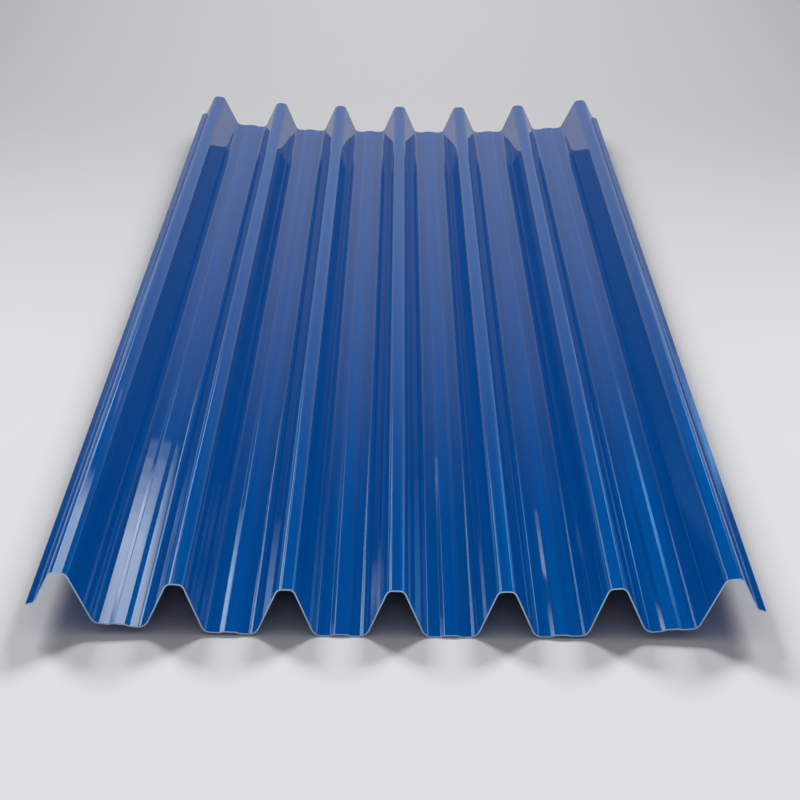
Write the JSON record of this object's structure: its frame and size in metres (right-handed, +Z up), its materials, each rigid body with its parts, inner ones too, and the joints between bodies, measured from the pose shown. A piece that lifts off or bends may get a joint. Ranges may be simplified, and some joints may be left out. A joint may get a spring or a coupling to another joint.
{
  "type": "trapezoidal corrugated metal sheet",
  "caption": "Long rectangular sheet of blue coated steel, rolled to narrow trapezoidal ribs and wide valleys, each with a shallow stiffener, and a short lap along both long edges.",
  "frame": {"origin": "on the floor plane under the middle of the sheet: centre of the bounding box's bottom face", "axes": "+X across the ribs, +Y along the ribs, +Z up, with the ribs standing up"},
  "size_m": [0.8024, 3, 0.071],
  "materials": {
    "coated_steel": "smooth gloss blue polyester coating on both faces of steel sheet"
  },
  "bodies": {
    "root": {"profiled_sheet": "coated_steel"}
  },
  "joints": []
}
